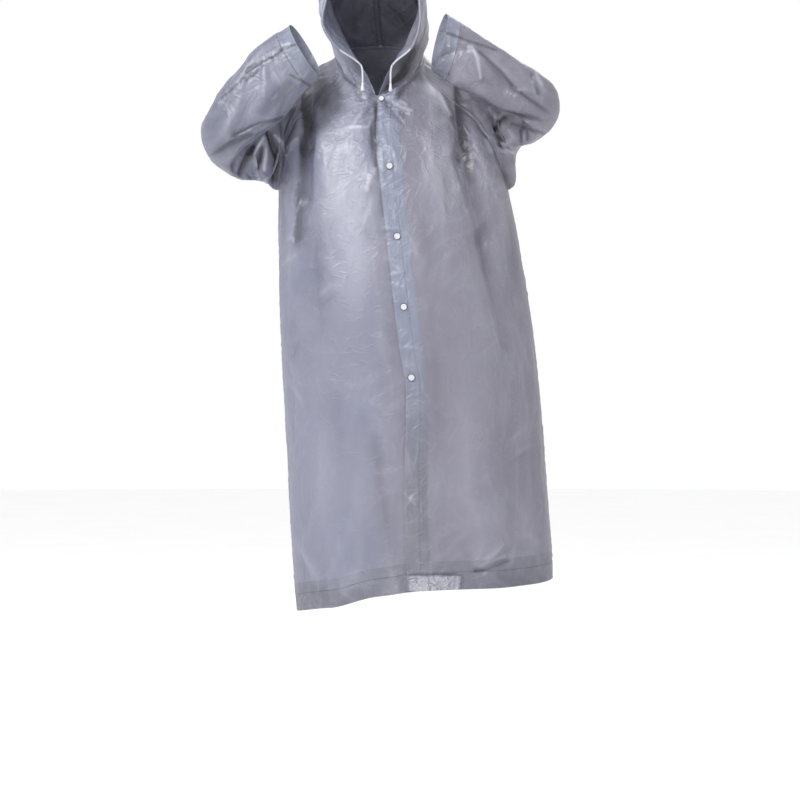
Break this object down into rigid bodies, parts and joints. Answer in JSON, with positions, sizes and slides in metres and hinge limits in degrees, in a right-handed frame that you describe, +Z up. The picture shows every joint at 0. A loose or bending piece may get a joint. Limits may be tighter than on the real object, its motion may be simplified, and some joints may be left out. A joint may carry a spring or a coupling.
{
  "type": "hooded raincoat",
  "caption": "Long hooded raincoat of thin film with raglan sleeves, a buttoned placket and a drawstring hood, in the hollow pose in which it is worn.",
  "frame": {"origin": "middle of the neck at the height of its base, where the wearer's neck and shoulders carry the coat", "axes": "+Z up, the front faces -Y, +X to the wearer's left"},
  "size_m": [0.692, 0.3969, 1.3856],
  "materials": {
    "film": "crinkled translucent film with a soft gloss",
    "folded_film": "doubled translucent film, bluer and denser",
    "stud": "moulded, satin",
    "cord": "braided, matt",
    "cord_end": "moulded, satin"
  },
  "bodies": {
    "root": {"back": "film", "front_left": "film", "front_right": "film", "front_placket": "folded_film", "sleeve_left": "film", "sleeve_right": "film", "hood_left": "film", "hood_right": "film", "button_1": "stud", "button_2": "stud", "button_3": "stud", "button_4": "stud", "button_5": "stud", "drawstring": "cord", "drawstring_tail_left": "cord", "drawstring_tail_right": "cord", "cord_end_left": "cord_end", "cord_end_right": "cord_end"}
  },
  "joints": []
}
